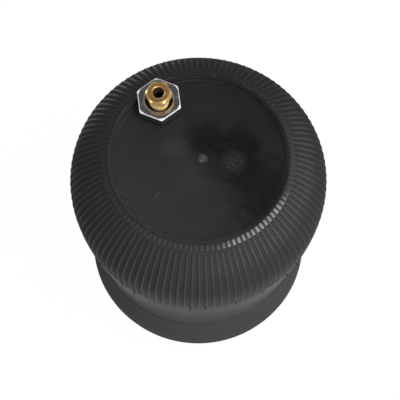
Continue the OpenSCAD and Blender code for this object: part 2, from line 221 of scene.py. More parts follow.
def rounded(corners, steps=5):
    # an outline of (r, z) corners, each with a fillet radius where it has a third number
    points = []
    for i, corner in enumerate(corners):
        here = Vector(corner[:2])
        if len(corner) < 3:
            points.append(tuple(here))
            continue
        toward = (Vector(corners[i - 1][:2]) - here).normalized()
        away = (Vector(corners[(i + 1) % len(corners)][:2]) - here).normalized()
        half = toward.angle(away) / 2
        reach = corner[2] / math.tan(half)
        centre = here + (toward + away).normalized() * (corner[2] / math.sin(half))
        first, last = here + toward * reach - centre, here + away * reach - centre
        turn = first.angle_signed(last)
        for k in range(steps + 1):
            swing = Matrix.Rotation(-turn * k / steps, 2)
            points.append(tuple(centre + swing @ first))
    return points


def revolve(bm, points, steps, closed=True):
    # a full turn of an (r, z) outline about the upright axis
    verts = [bm.verts.new((r, 0, z)) for r, z in points]
    edges = [bm.edges.new(pair) for pair in zip(verts, verts[1:])]
    if closed:
        edges.append(bm.edges.new((verts[-1], verts[0])))
    bmesh.ops.spin(bm, geom=verts + edges, cent=(0, 0, 0), axis=(0, 0, 1), dvec=(0, 0, 0),
                   angle=2 * math.pi, steps=steps, use_merge=True, use_duplicate=False)


def addThread(bm, root, crest, pitch, low, high, steps=40):
    # a helical ridge from the root radius to the crest radius
    turns = (high - low) / pitch - 1
    corners = [(root, 0), (crest, pitch * 0.38), (crest, pitch * 0.52), (root, pitch * 0.9)]
    verts = [bm.verts.new((r, 0, low + z)) for r, z in corners]
    edges = [bm.edges.new((verts[i], verts[(i + 1) % 4])) for i in range(4)]
    count = int(turns * steps)
    made = bmesh.ops.spin(bm, geom=verts + edges, cent=(0, 0, 0), axis=(0, 0, 1),
                          dvec=(0, 0, pitch / steps), angle=2 * math.pi * count / steps,
                          steps=count, use_merge=False, use_duplicate=False)
    last = [e for e in made["geom_last"] if isinstance(e, bmesh.types.BMEdge)]
    bmesh.ops.contextual_create(bm, geom=edges)
    bmesh.ops.contextual_create(bm, geom=last)


def roundEdges(bm, angle, width):
    # rounds every edge that is sharper than the angle
    limit = math.radians(angle)
    edges = [e for e in bm.edges if len(e.link_faces) == 2 and e.calc_face_angle() > limit]
    bmesh.ops.bevel(bm, geom=edges, offset=width, segments=2, profile=0.5, material=-1,
                    affect="EDGES", clamp_overlap=True)


def cleanMesh(bm):
    bmesh.ops.remove_doubles(bm, verts=bm.verts, dist=mm / 1000)
    bmesh.ops.recalc_face_normals(bm, faces=bm.faces)


def addHexagon(bm, size):
    # a hexagon turned down to a cone at its faces, with a countersunk bore and rounded edges
    flat, cone, chamfer = size["acrossFlats"] / 2, size["coneR"], size["chamfer"]
    bore, wide = size["bore"], size["bore"] + size["sink"]
    low, high = size["low"], size["high"]
    slope = math.tan(math.radians(30))
    made = bmesh.ops.create_circle(bm, cap_ends=False, segments=6, radius=flat / math.cos(math.pi / 6))
    turn = Matrix.Rotation(math.radians(size["turn"] - 90), 3, "Z")
    bmesh.ops.rotate(bm, verts=made["verts"], cent=(0, 0, 0), matrix=turn)
    bmesh.ops.subdivide_edges(bm, edges=bm.edges[:], cuts=size["cuts"])
    ring = bm.edges[:]
    first = ring
    for v in bm.verts:
        reach = Vector(v.co[:2]).length
        v.co.z = low + (max(0, reach - cone) * slope if size["coneBelow"] else 0)
    stages = [("hexagon", high), (cone, high), (wide, high), (bore, high - size["sink"] * 0.6),
              (bore, low + size["sink"]), (wide, low)]
    if size["coneBelow"]:
        stages.append((cone, low))
    for radius, z in stages:
        grown = bmesh.ops.extrude_edge_only(bm, edges=ring)["geom"]
        fresh = {part for part in grown if isinstance(part, bmesh.types.BMVert)}
        ring = [part for part in grown if isinstance(part, bmesh.types.BMEdge)
                and all(v in fresh for v in part.verts)]
        for v in fresh:
            across = Vector(v.co[:2])
            if radius == "hexagon":
                v.co.z = z - chamfer - max(0, across.length - cone) * slope
            elif z == high and radius == cone:
                v.co = (*(across.normalized() * (min(radius, across.length) - chamfer)), z)
            else:
                v.co = (*(across.normalized() * min(radius, across.length)), z)
    bmesh.ops.bridge_loops(bm, edges=ring + first)
    cleanMesh(bm)
    roundEdges(bm, 24, size["round"])


def finishPiece(bm, name, body, material, sharp=35, place=(0, 0, 0)):
    cleanMesh(bm)
    bmesh.ops.translate(bm, verts=bm.verts, vec=place)
    for face in bm.faces:
        face.smooth = True
    mesh = bpy.data.meshes.new(name)
    bm.to_mesh(mesh)
    bm.free()
    mesh.set_sharp_from_angle(angle=math.radians(sharp))
    mesh.materials.append(material)
    piece = bpy.data.objects.new(name, mesh)
    bpy.context.scene.collection.objects.link(piece)
    if body:
        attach(piece, body)
    print(f"{name}: {sum(len(f.vertices) - 2 for f in mesh.polygons)} triangles")
    return piece


# Rubber of the bellows
rubberFinish = {
    "dark": (0.006, 0.006, 0.0065),
    # lighter tone where the painted front light falls
    "light": (0.066, 0.066, 0.067),
    # painted highlights on ribs, rib tips and hatch rungs, and dust
    "crest": (0.12, 0.12, 0.122),
    "band": (0.20, 0.20, 0.20),
    # painted highlight on the pads
    "pad": (0.30, 0.30, 0.30),
    # painted shade in the hatch, beside the ribs, at the ribs' end and under the lobe; also the parting
    # line's dark ridges
    "groove": (0.003, 0.003, 0.0035),
    "cloud": (28, 4, 0.6),           # noise: scale, detail and roughness
    "grain": (900, 2, 0.6),
    "roughness": 0.50,
    "specular": 0.14,
    "coatRoughness": 0.5,
    "bump": 0.6 * mm,
    "hatchPitch": 1.45 * mm,
    "hatchEnd": 27 * mm,             # how far from the plate the hatching shows
    "tip": 3.5 * mm,                 # length of the painted highlight at the outer end of a rib
    "leftTip": 12 * mm,              # the same on the left
    "lobeEdge": 5 * mm,              # how far above the lobe the painted shade under it begins
}
rubberZones = {
    # direction across the plate, and how far out that way the zone begins and is full
    # painted light from the front and the right
    "wearAndLight": (0.48, -0.85, -60 * mm, 90 * mm),
    "right": (0.9, -0.43, 20 * mm, 75 * mm),
    # topLeft and leftLow hold the painted highlights on the ribs there
    "topLeft": (-0.62, 0.78, 62 * mm, 82 * mm),
    "leftLow": (-0.8, -0.6, 55 * mm, 85 * mm),
    "hatched": (0.8, -0.6, 15 * mm, 70 * mm),
    # painted highlight on the pads toward the front right
    "litPads": (0.64, -0.77, 56 * mm, 63.5 * mm),
}
rubberSpots = {
    # stretch, the noise's scale, detail, roughness and distortion, and where it is cut
    "dust": ((1, 1, 1), (170, 5, 0.7, 0), (0.55, 0.75)),
    "scuffs": ((1, 1, 1.8), (130, 6, 0.8, 1.0), (0.46, 0.6)),
    "streaks": ((35, 35, 650), (1, 4, 0.65, 0), (0.45, 0.75)),
    "patches": ((1, 1, 1), (75, 4, 0.65, 0), (0.38, 0.66)),
    "blotches": ((1, 1, 1.4), (170, 3, 0.55, 0.6), (0.46, 0.66)),
}
ribPaint = {
    "lit": 0.17,                     # half the width of a lit rib, as a share of the pitch
    "fresh": 0.17,                   # what it gains away from the zones of painted light
    "shadow": 0.27,                  # from the rib's middle to the middle of its shadow
    "shadowEdge": (0.03, 0.16),
    "line": {                        # how bright the painted highlight on the ribs is in each zone
        "all": 0.08, "wearAndLight": 0.16, "topLeft": 1.1, "leftLow": 0.25,
        "rightNear": 0.33, "rightFar": -0.12,
    },
}


def rubberMaterial():
    f, look = Finish("rubber"), rubberFinish
    rest = f.attribute("rest", "Vector")
    x, y = f.xyz(rest)[:2]
    along = f.attribute("along")
    land, band = f.attribute("land"), f.attribute("band")
    crest, pad, groove = f.attribute("crest"), f.attribute("pad"), f.attribute("groove")

    def zone(name):
        across, back, begin, full = rubberZones[name]
        return (x * across + y * back).step(begin, full)

    def spots(name):
        return f.spots(rest, *rubberSpots[name])

    cloud, grain = f.noise(rest, *look["cloud"]), f.noise(rest, *look["grain"])
    streaks, patches, blotches = spots("streaks"), spots("patches"), spots("blotches")
    # painted light: the front and the right are lighter, as if lit from there, and dust lies there too
    wearAndLight, right = zone("wearAndLight"), zone("right")
    topLeft = zone("topLeft") * along.step(10 * mm, 22 * mm)
    leftLow = zone("leftLow") * along.step(22 * mm, 40 * mm)
    aside = x.calc("ABSOLUTE").step(20 * mm, 65 * mm)
    # painted light, stronger toward the shoulder's lower part and fading down the wall
    low = along.step(0.5 * ribLength, ribLength)
    low = low * (1 - 0.55 * along.step(ribLength + 12 * mm, ribLength + 55 * mm))

    # hatching between the ribs: a bump, with painted highlights on its rungs and painted shade between them
    near = 1 - along.step(look["hatchEnd"] * 0.6, look["hatchEnd"])
    hatched = land * near * (0.6 + 0.4 * patches) * zone("hatched")
    hatch = (along * (2 * math.pi / look["hatchPitch"])).calc("SINE") * 0.5 + 0.5
    rung = hatch.step(0.3, 0.6)

    # lit and shaded side of each rib, from its distance to the nearest rib's middle
    turns = y.calc("ARCTAN2", x) * (bellowsSize["ribCount"] / (2 * math.pi))
    wave = (turns - bellowsSize["ribTurn"] * bellowsSize["ribCount"] / 360 + 0.5).calc("FRACT") - 0.5
    # share away from the zones of painted light
    fresh = (1 - wearAndLight) * (1 - 0.8 * topLeft) * (1 - 0.8 * leftLow)
    ridge = 1 - (wave.calc("ABSOLUTE") / (ribPaint["lit"] + ribPaint["fresh"] * fresh)).step(0.15, 1)
    shadow = 1 - (wave + ribPaint["shadow"]).calc("ABSOLUTE").step(*ribPaint["shadowEdge"])
    start = along.step(bellowsSize["padEnd"], 8 * mm).calc("MAXIMUM", right * along.step(0.4 * mm, 2 * mm))
    ribs = (1 - along.step(ribLength - 2 * mm, ribLength)) * start
    zones = {"all": 1, "wearAndLight": wearAndLight, "topLeft": topLeft, "leftLow": leftLow,
             "rightNear": right * near, "rightFar": right * (1 - near)}
    line = sum(amount * zones[name] for name, amount in ribPaint["line"].items())
    # painted highlights along the rib tips
    tip = along.step(ribLength - look["tip"], ribLength - mm) * crest
    leftTip = along.step(ribLength - look["leftTip"], ribLength - 4 * mm) * crest * leftLow

    # the two ridges of the parting line
    seam = (along - seamPlace).calc("ABSOLUTE")
    parting = 1 - (seam - bellowsSize["seamGap"] - 0.5 * mm).calc("ABSOLUTE").step(0.3 * mm, 0.9 * mm)
    # painted shade under the lobe
    under = along.step(lobePlace - look["lobeEdge"], lobePlace + 2 * mm)
    scuffed = 0.04 + 0.05 * streaks + 0.04 * patches + 0.07 * spots("scuffs") + 0.03 * blotches
    litPads = zone("litPads") * (0.65 + 0.35 * patches)

    # painted front light over random clouds and grain
    shade = wearAndLight * (0.36 + 0.64 * low) + cloud * 0.1 + grain * 0.07
    colour = f.paint(f.blend(shade.clamp(), look["dark"], look["light"]), look, [
        (rung * hatched * 0.48, "crest"),
        ((1 - rung) * hatched * 0.8, "groove"),
        (spots("dust") * wearAndLight * 0.06, "crest"),
        (band * scuffed, "band"),
        ((ribs * ridge * line).clamp(), "crest"),
        (tip * (0.1 + 0.85 * wearAndLight), "crest"),
        (leftTip * 0.4, "crest"),
        (ribs * shadow * (0.4 - 0.2 * right), "groove"),
        # painted highlight on the pads
        ((pad * (0.01 + 0.07 * wearAndLight + 0.8 * litPads)).clamp(), "pad"),
        # painted shade in the groove where the ribs end
        (groove * 0.4, "groove"),
        (parting * (0.75 - 0.6 * wearAndLight), "groove"),
        (under * 0.75, "groove"),
    ])
    # handling has polished the band below the ribs in patches, and the wall under it a little
    polish = band * (0.3 + 0.3 * blotches + 0.2 * streaks) * (0.4 + 1.1 * aside)
    polish = (polish + 0.06 * along.step(ribLength, seamPlace)).clamp()
    height = rung * hatched * 0.3 + grain * 0.10 + streaks * band * 0.08 + cloud * 0.3
    f.set(Base_Color=colour, Roughness=look["roughness"] + 0.12 * cloud + 0.12 * land - 0.06 * crest,
          Normal=f.bump(height, look["bump"], 0.9), Specular_IOR_Level=look["specular"],
          Coat_Weight=polish, Coat_Roughness=look["coatRoughness"])
    return f.material


# Bellows
bellowsSize = {
    "wall": 5.5 * mm,
    "shoulderBend": 37.9 * mm,
    "shoulderDrop": 42.3 * mm,       # widest ring below the rim
    "crown": 4.8 * mm,               # rise of the shoulder's top over a round bend
    "waistDrop": 152 * mm,
    "waistR": 82 * mm,
    "lobeR": 88 * mm,
    "lobeDrop": 192 * mm,
    "air": 0.3 * mm,                 # between rubber and piston
    "crimpAir": 0.1 * mm,
    "split": 75 * mm,                # height where the skin ends on the piston
    "ribCount": 112,
    "ribColumns": 8,                 # columns of vertices for each rib
    "ribTurn": 0.9,                  # degrees to the middle of the first rib
    "ribHeight": 0.24 * mm,
    "landRise": 12 * mm,             # where the rubber between the ribs starts to rise
    "endGroove": 0.25 * mm,          # depth of the groove where the ribs end
    "crest": 0.38 * mm,              # half the width of a rib's crest at its outer end
    "foot": 0.74 * mm,               # half the width of a rib's foot there
    "slim": 0.6,                     # share of those widths at the plate
    "padFoot": 0.19,                 # share of the pitch from a rib to the foot of a pad
    "padEdge": 0.24,
    "padHeight": 0.6 * mm,
    "padLow": 0.25,                  # share of that height on the side away from the light
    "padEnd": 4.1 * mm,              # length of the pads from the plate outward
    "padTurn": -52,                  # degrees to the middle of the full pads
    "ribEnd": 59 * mm,               # where the ribs end, below the rim
    "seamGap": 1.1 * mm,             # from the parting line to each of its two ridges
    "seamHeight": 0.3 * mm,
    "seamWidth": 0.42 * mm,          # half the width of a ridge
    "bandFull": 30 * mm,             # worn band below the ribs
    "bandFade": 62 * mm,
    "innerGap": 37 * mm,             # between rings of the inner wall
}
upperBead = {
    "lipR": 57 * mm,
    "inset": 3.2 * mm,               # from the lip to the bead's inner side
    "top": 248.3 * mm,
    "side": 2.1 * mm,                # metal and air round the bead
    "corner": 3.5 * mm,
}
bendX = shoulderR - bellowsSize["shoulderBend"]
bendZ = rimZ - bellowsSize["shoulderDrop"]
waistZ = rimZ - bellowsSize["waistDrop"]
lobeZ = rimZ - bellowsSize["lobeDrop"]
lobeIn = pistonR + bellowsSize["air"]
lobeBend = (bellowsSize["lobeR"] - lobeIn) / 2
lobeX = bellowsSize["lobeR"] - lobeBend
rootIn = plateR + bellowsSize["crimpAir"]
rootTurn = math.acos((rootIn - bendX) / (bellowsSize["shoulderBend"] + bellowsSize["crown"]))
shoulderLength = rootTurn * bellowsSize["shoulderBend"]
ribLength = shoulderLength + bendZ - (rimZ - bellowsSize["ribEnd"])
seamPlace = shoulderLength + bendZ - waistZ
lobePlace = shoulderLength + bendZ - lobeZ
lobeLength = math.pi * lobeBend
skinLength = lobePlace + lobeLength + bellowsSize["split"] - lobeZ


def ease(share):
    # 0 up to 0, 1 from 1 on, eased between
    share = min(1, max(0, share))
    return (1 - math.cos(math.pi * share)) / 2


def wallR(z):
    # outer radius at the height z, from the widest ring over the waist to the lobe
    low, high = bellowsSize["waistR"], shoulderR
    if z > waistZ:
        return high - (high - low) * ease((bendZ - z) / (bendZ - waistZ))
    return low + (bellowsSize["lobeR"] - low) * ease((waistZ - z) / (waistZ - lobeZ))


def outerPath(s):
    # radius, height and outward normal at the distance s from the plate along the outside
    if s <= shoulderLength:
        turn = rootTurn - s / bellowsSize["shoulderBend"]
        normal = (math.cos(turn), math.sin(turn))
        reach = bellowsSize["shoulderBend"] + bellowsSize["crown"] * normal[1] ** 8
        return bendX + reach * normal[0], bendZ + reach * normal[1], *normal
    if s <= lobePlace:
        z = bendZ - (s - shoulderLength)
        slope = (wallR(z + 0.1 * mm) - wallR(z - 0.1 * mm)) / (0.2 * mm)
        long = math.hypot(1, slope)
        return wallR(z), z, 1 / long, -slope / long
    if s <= lobePlace + lobeLength:
        turn = -(s - lobePlace) / lobeBend
        return (lobeX + lobeBend * math.cos(turn), lobeZ + lobeBend * math.sin(turn),
                math.cos(turn), math.sin(turn))
    return lobeIn, lobeZ + s - lobePlace - lobeLength, -1, 0


def spread(low, high, gap):
    # even places from low to high, about one gap apart
    count = max(1, round((high - low) / gap))
    return [low + (high - low) * i / count for i in range(count + 1)]


def bellowsRows():
    # distances from the plate, close together at the pads, the ribs' ends and the parting line
    pad, rib = bellowsSize["padEnd"], ribLength
    seam = [seamPlace + k * mm for k in (-2.4, -1.5, -1.1, -0.7, 0, 0.7, 1.1, 1.5, 2.4)]
    rows = [0, 0.25 * mm, 0.7 * mm]
    rows += [pad + k * mm for k in (-1.5, -0.2, 0.35, 1.2)]
    rows += spread(pad + 3 * mm, rib - 2.2 * mm, 2.3 * mm)
    rows += [rib + k * mm for k in (-0.9, -0.1, 0.5, 1.6)]
    rows += spread(rib + 6 * mm, seam[0] - 4 * mm, 11 * mm) + seam
    rows += spread(seam[-1] + 5 * mm, lobePlace, 10 * mm)
    rows += spread(lobePlace, lobePlace + lobeLength, lobeLength / 10)[1:]
    return rows + [skinLength]


def landLevel(s):
    # how far the rubber between the ribs lies below the outline
    deep = -bellowsSize["ribHeight"]
    level = deep * (1 - 0.85 * ease((s - ribLength + bellowsSize["landRise"]) / (11 * mm)))
    groove = bellowsSize["endGroove"] * ease(1 - abs(s - ribLength + 0.1 * mm) / (0.8 * mm))
    return level * (1 - ease((s - ribLength) / (0.9 * mm))) - groove


def ribShare(s):
    return ease((ribLength + 0.5 * mm - s) / (0.65 * mm))


def padShare(s):
    pad = bellowsSize["padEnd"]
    return ease(s / (0.5 * mm)) * ease((pad + 0.35 * mm - s) / (0.5 * mm))


def seamShare(s):
    off = abs(abs(s - seamPlace) - bellowsSize["seamGap"])
    return ease(1 - off / bellowsSize["seamWidth"])


def beadOutline():
    # round the upper bead, from the inner wall back to the skin's start
    b, gap, wall = upperBead, bellowsSize["crimpAir"], bellowsSize["wall"]
    lip, inside = b["lipR"], b["lipR"] - b["inset"]
    return [(lip, lipZ - wall), (inside, lipZ - wall / 2), (inside, b["top"]),
            (plateR - b["side"], b["top"]), (plateR - b["side"], lipZ + b["corner"]),
            (plateR - b["corner"], lipZ + b["side"]), (lip - gap, lipZ + b["side"]),
            (lip - gap, lipZ - gap), (rootIn, lipZ - gap)]


def makeSkin():
    bm = bmesh.new()
    along = bm.verts.layers.float.new("along")
    outward = bm.verts.layers.float_vector.new("outward")
    wall = bellowsSize["wall"]
    outer = []
    for s in bellowsRows():
        r, z, across, up = outerPath(s)
        outer.append(((r, z), s, (across, 0, up)))
    rings = spread(lobePlace, lobePlace + lobeLength, lobeLength / 5)
    rings += spread(shoulderLength, lobePlace, bellowsSize["innerGap"])[:-1]
    rings += [shoulderLength * share for share in (0.25, 0.5, 0.75)] + [skinLength]
    inner = []
    for s in sorted(rings, reverse=True):
        r, z, across, up = outerPath(s)
        inner.append(((r - wall * across, z - wall * up), -1, (0, 0, 0)))
    loop = outer + inner + [(point, -1, (0, 0, 0)) for point in beadOutline()]
    verts = []
    for (r, z), s, normal in loop:
        v = bm.verts.new((r, 0, z))
        v[along] = s
        v[outward] = normal
        verts.append(v)
    edges = [bm.edges.new((verts[i - 1], verts[i])) for i in range(len(verts))]
    count, columns = bellowsSize["ribCount"], bellowsSize["ribColumns"]
    around = {"cent": (0, 0, 0), "axis": (0, 0, 1), "dvec": (0, 0, 0)}
    bmesh.ops.spin(bm, geom=verts + edges, angle=2 * math.pi / count, steps=columns,
                   use_merge=False, use_duplicate=False, **around)
    bmesh.ops.spin(bm, geom=bm.verts[:] + bm.edges[:] + bm.faces[:], steps=count - 1,
                   angle=2 * math.pi * (count - 1) / count, use_merge=False, use_duplicate=True, **around)
    bmesh.ops.remove_doubles(bm, verts=bm.verts, dist=mm / 1000)     # closes the seam
    shapeSkin(bm, along, outward)
    piece = finishPiece(bm, "bellows_skin", None, rubber, sharp=60)
    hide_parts("bellows")
    return piece


def shapeSkin(bm, along, outward):
    # ribs, pads and parting line, pushed out along the skin's own normals
    size = bellowsSize
    land, band, crestMask, groove, pad = [
        bm.verts.layers.float.new(name) for name in ("land", "band", "crest", "groove", "pad")]
    rest = bm.verts.layers.float_vector.new("rest")
    pitchTurn = 2 * math.pi / size["ribCount"]
    columns = size["ribCount"] * size["ribColumns"]
    for v in bm.verts:
        s = v[along]
        if s >= 0:
            radius = math.hypot(v.co.x, v.co.y)
            slim = size["slim"] + (1 - size["slim"]) * min(1, s / ribLength)
            pitch = radius * pitchTurn / slim
            crest, foot = size["crest"] / pitch, size["foot"] / pitch
            places = [-size["padEdge"], -size["padFoot"], -foot, -crest,
                      crest, foot, size["padFoot"], size["padEdge"]]
            column = round(math.atan2(v.co.y, v.co.x) / (2 * math.pi) * columns)
            rib, part = divmod(column, size["ribColumns"])
            turn = (rib + places[part]) * pitchTurn + math.radians(size["ribTurn"])
            onCrest, onPad = part in (3, 4), part in (0, 7)
            normal = v[outward]
            lift = 0 if onCrest else landLevel(s)
            facing = ease((math.cos(turn - math.radians(size["padTurn"])) - 0.5) / 0.45)
            facing = size["padLow"] + (1 - size["padLow"]) * facing
            lift += size["padHeight"] * onPad * padShare(s) * facing
            lift += size["seamHeight"] * seamShare(s)
            reach = radius + lift * normal.x
            v.co = (reach * math.cos(turn), reach * math.sin(turn), v.co.z + lift * normal.z)
            inRibs = ease((ribLength - s) / (1.5 * mm)) * ease((s - size["padEnd"] - mm) / (1.5 * mm))
            edge = ease(1 - abs(s - ribLength + 0.1 * mm) / (0.7 * mm))
            # crest and pad carry the paint's highlights, groove the painted shade where the ribs end
            v[land] = inRibs * (not onCrest)
            v[crestMask] = onCrest * ribShare(s) * ease((s - size["padEnd"] + mm) / (2 * mm))
            v[pad] = onPad * padShare(s)
            v[groove] = edge * (not onCrest)
            past = s - ribLength
            v[band] = ease(past / (2 * mm)) * (1 - ease((past - size["bandFull"]) / size["bandFade"]))
        v[rest] = v.co


rubber = rubberMaterial()
skin = makeSkin()
print("bellows made")

# Hidden lower end of the bellows
endSize = {
    "beadHeight": 7 * mm,
    "beadWidth": 7 * mm,
    "bend": 8 * mm,
    "meet": 112 * mm,                # height where the sleeve ends
    "steps": 192,
}


def addRest(bm):
    # the rubber's marks are placed by this layer, so they move with it
    rest = bm.verts.layers.float_vector.new("rest")
    for v in bm.verts:
        v[rest] = v.co


def makeSleeve():
    # inner leg of the lobe, along the piston
    wall = bellowsSize["wall"]
    low, high = bellowsSize["split"], endSize["meet"]
    heights = spread(low, high, 6 * mm)
    outline = [(lobeIn, z) for z in heights] + [(lobeIn + wall, z) for z in reversed(heights)]
    bm = bmesh.new()
    revolve(bm, outline, endSize["steps"])
    addRest(bm)
    return finishPiece(bm, "bellows_sleeve", None, rubber)


def makeBeadEnd():
    # lower bead, over the piston's rounded edge and onto its deck
    wall, gap = bellowsSize["wall"], bellowsSize["air"]
    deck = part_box("piston_shell")[1].z
    turnX, turnZ = pistonR - endSize["bend"], deck - endSize["bend"]
    inner = turnX - endSize["beadWidth"]
    outline = [(lobeIn, endSize["meet"])]
    outline += arc(turnX, turnZ, endSize["bend"] + gap, 0, 90, 8)
    outline += [(inner, deck + gap), (inner, deck + gap + endSize["beadHeight"]),
                (turnX, deck + gap + endSize["beadHeight"])]
    outline += arc(turnX, turnZ, endSize["bend"] + gap + wall, 86, 0, 8)
    outline += [(lobeIn + wall, endSize["meet"])]
    bm = bmesh.new()
    revolve(bm, outline, endSize["steps"])
    addRest(bm)
    return finishPiece(bm, "bellows_bead", "piston", rubber)


sealFinish = {
    "dark": (0.002, 0.002, 0.002),
    "light": (0.006, 0.006, 0.006),
    "cloud": (200, 3, 0.6),
    "roughness": 0.6,
    "specular": 0.05,
}


def smoothRubberMaterial():
    f, look = Finish("seal_rubber"), sealFinish
    cloud = f.noise(f.coords(), *look["cloud"])
    f.set(Base_Color=f.blend(cloud, look["dark"], look["light"]), Roughness=look["roughness"] + 0.1 * cloud,
          Normal=f.bump(cloud, 0.05 * mm, 0.5), Specular_IOR_Level=look["specular"])
    return f.material


# Rubber whiskers that the mould's vents leave at the rib ends
whiskerSize = {
    "radius": 0.42 * mm,
    "tip": 0.24 * mm,
    "length": 2.2 * mm,
    "sink": 0.2 * mm,                # into the skin
    "front": (-139.4, -125.6, -118.9, -92.9, -86.3, -72.5, -59.5, -46.2, -39.4),   # degrees
    "bareRight": 125,                # degrees where they have worn off
    "bareLeft": 70,
    "spacing": 12.86,
    "seed": 5,
}


def makeWhiskers():
    chance = random.Random(whiskerSize["seed"])
    turns = list(whiskerSize["front"])
    turn = turns[-1] + whiskerSize["bareRight"]
    while turn < turns[0] + 360 - whiskerSize["bareLeft"]:
        turns.append(turn)
        turn += whiskerSize["spacing"] * chance.choice((0.5, 1, 1, 1))
    r, z, across, up = outerPath(ribLength)
    bm = bmesh.new()
    for turn in turns:
        swing = Matrix.Rotation(math.radians(turn), 4, "Z")
        lean = Vector((across + 0.2, chance.uniform(-0.7, -0.2), up + chance.uniform(-0.3, 0.3)))
        tilt = lean.to_track_quat("Z", "Y").to_matrix().to_4x4()
        place = Matrix.Translation((r - whiskerSize["sink"], 0, z)) @ tilt
        length = whiskerSize["length"] * chance.uniform(0.7, 1.1)
        bmesh.ops.create_cone(bm, cap_ends=True, segments=10, radius1=whiskerSize["radius"],
                              radius2=whiskerSize["tip"], depth=length,
                              matrix=swing @ place @ Matrix.Translation((0, 0, length / 2)))
    # the whiskers take the darker seal rubber: partly painted shade, for the shade they cast at the rib ends
    return finishPiece(bm, "bellows_whiskers", None, sealRubber, sharp=30)


sealRubber = smoothRubberMaterial()
whiskers = makeWhiskers()
sleeve = makeSleeve()
makeBeadEnd()
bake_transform(skin)
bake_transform(whiskers)
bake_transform(sleeve)
print("lower end and whiskers made")

# Bead plate
plateSize = {
    "flat": rimZ - 2.3 * mm,
    "thickness": 2.6 * mm,
    "rimWidth": 3.1 * mm,
    "foot": 1.7 * mm,
    "rimRound": 0.45 * mm,
    "skirt": 2 * mm,
    "curl": 3.5 * mm,
    "dish": 0.25 * mm,
    "steps": 192,
}
plateFinish = {
    "dark": (0.007, 0.007, 0.0073),
    # lighter painted reflection across the coating
    "light": (0.022, 0.022, 0.0225),
    # painted dark reflection
    "darkReflection": (0.001, 0.001, 0.001),
    "scuff": (0.10, 0.10, 0.10),
    "rust": (0.075, 0.028, 0.016),
    "cloud": (22, 4, 0.6, 0.6),      # noise: scale, detail, roughness and distortion
    "ragged": (95, 4, 0.7, 0.8),
    "fine": (260, 3, 0.6),
    "pits": (1400, 1, 0.5),
    "roughness": 0.36,
    "specular": 0.2,
    "bump": 0.05 * mm,
}
plateSpots = {
    # stretch, the noise's scale, detail, roughness and distortion, and where it is cut
    "specks": ((1, 1, 1), (620, 2, 0.6, 0), (0.66, 0.74)),
    "crumbs": ((1, 1, 1), (700, 4, 0.7, 0), (0.5, 0.62)),
    "patchy": ((1, 1, 1), (60, 3, 0.6, 0), (0.45, 0.55)),
    "grazesAcross": ((120, 1500, 60), (1, 3, 0.6, 1.2), (0.56, 0.62)),
    "grazesAlong": ((1400, 160, 60), (1, 3, 0.6, 1.5), (0.57, 0.63)),
}
plateScuffs = [
    # place on the plate, radius and strength
    (3.0 * mm, -0.5 * mm, 4.5 * mm, 2.4),
    (24 * mm, -2.7 * mm, 11 * mm, 0.55),
    (-16 * mm, 8 * mm, 13 * mm, 0.4),
    (-4 * mm, -14 * mm, 17 * mm, 0.2),
]
plateScratches = [
    # place, direction in degrees and length
    (-53 * mm, -25 * mm, -32, 7 * mm),
    (-48.6 * mm, -33 * mm, -20, 5 * mm),
    (-27.7 * mm, -27.4 * mm, 50, 6 * mm),
    (-38 * mm, -44 * mm, -40, 3 * mm),
    (12 * mm, -58 * mm, 8, 4 * mm),
]
plateDarkReflections = [
    # places of painted dark reflection on the coating, with radius and strength
    (43 * mm, -19 * mm, 34 * mm, 1.0),
    (28 * mm, 10 * mm, 22 * mm, 0.9),
    (4 * mm, 16 * mm, 20 * mm, 0.9),
    (13 * mm, -6 * mm, 20 * mm, 0.5),
    (36 * mm, -45 * mm, 20 * mm, 0.5),
]
rustSpot = (-33 * mm, -49.6 * mm, 1.8 * mm)     # place and radius


